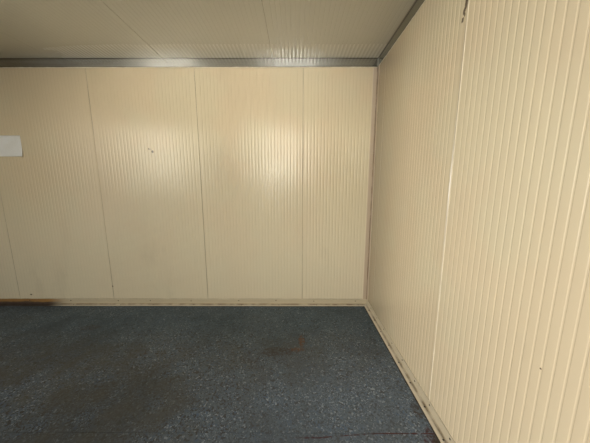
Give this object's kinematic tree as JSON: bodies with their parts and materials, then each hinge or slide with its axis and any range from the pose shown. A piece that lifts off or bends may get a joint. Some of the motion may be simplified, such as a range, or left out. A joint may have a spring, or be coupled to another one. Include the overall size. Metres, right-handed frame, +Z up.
{
  "type": "open-fronted site cabin room section",
  "caption": "Room of a portable site cabin with ribbed sandwich panel walls and roof, galvanised frame, speckled floor and open front.",
  "frame": {"origin": "middle of the footprint at ground level", "axes": "+X along the back wall to the right as seen from the open front, +Y from the open front to the back wall, +Z up"},
  "size_m": [5.449, 2.481, 2.6478],
  "materials": {
    "wall_panel": "satin cream coil coating",
    "roof_panel": "satin off-white coil coating",
    "galvanised_beam": "galvanised, streaky",
    "base_steel": "galvanised, dull",
    "post_steel": "satin cream paint",
    "fascia": "satin cream paint",
    "floor_board": "bare board edge",
    "floor_covering": "speckled blue-grey vinyl",
    "skirting": "satin cream paint",
    "corner_trim": "satin cream paint"
  },
  "bodies": {
    "root": {"back_wall_panel_1": "wall_panel", "back_wall_panel_2": "wall_panel", "back_wall_panel_3": "wall_panel", "back_wall_panel_4": "wall_panel", "back_wall_panel_5": "wall_panel", "back_wall_panel_6": "wall_panel", "base_rail_back": "base_steel", "base_rail_front": "base_steel", "base_rail_left": "base_steel", "base_rail_right": "base_steel", "corner_post_back_left": "post_steel", "corner_post_back_right": "post_steel", "corner_post_front_left": "post_steel", "corner_post_front_right": "post_steel", "corner_trim_left": "corner_trim", "corner_trim_right": "corner_trim", "floor_boards": "floor_board", "floor_covering_back": "floor_covering", "floor_covering_front": "floor_covering", "floor_joists": "base_steel", "left_wall_panel_1": "wall_panel", "left_wall_panel_2": "wall_panel", "left_wall_panel_3": "wall_panel", "left_wall_panel_4": "wall_panel", "right_wall_panel_1": "wall_panel", "right_wall_panel_2": "wall_panel", "right_wall_panel_3": "wall_panel", "right_wall_panel_4": "wall_panel", "roof_beam_back": "galvanised_beam", "roof_beam_front": "galvanised_beam", "roof_beam_left": "galvanised_beam", "roof_beam_right": "galvanised_beam", "roof_fascia_back": "fascia", "roof_fascia_front": "fascia", "roof_fascia_left": "fascia", "roof_fascia_right": "fascia", "roof_panel_1": "roof_panel", "roof_panel_2": "roof_panel", "roof_panel_3": "roof_panel", "roof_panel_4": "roof_panel", "roof_panel_5": "roof_panel", "roof_panel_6": "roof_panel", "skirting_back": "skirting", "skirting_left": "skirting", "skirting_right": "skirting"}
  },
  "joints": []
}
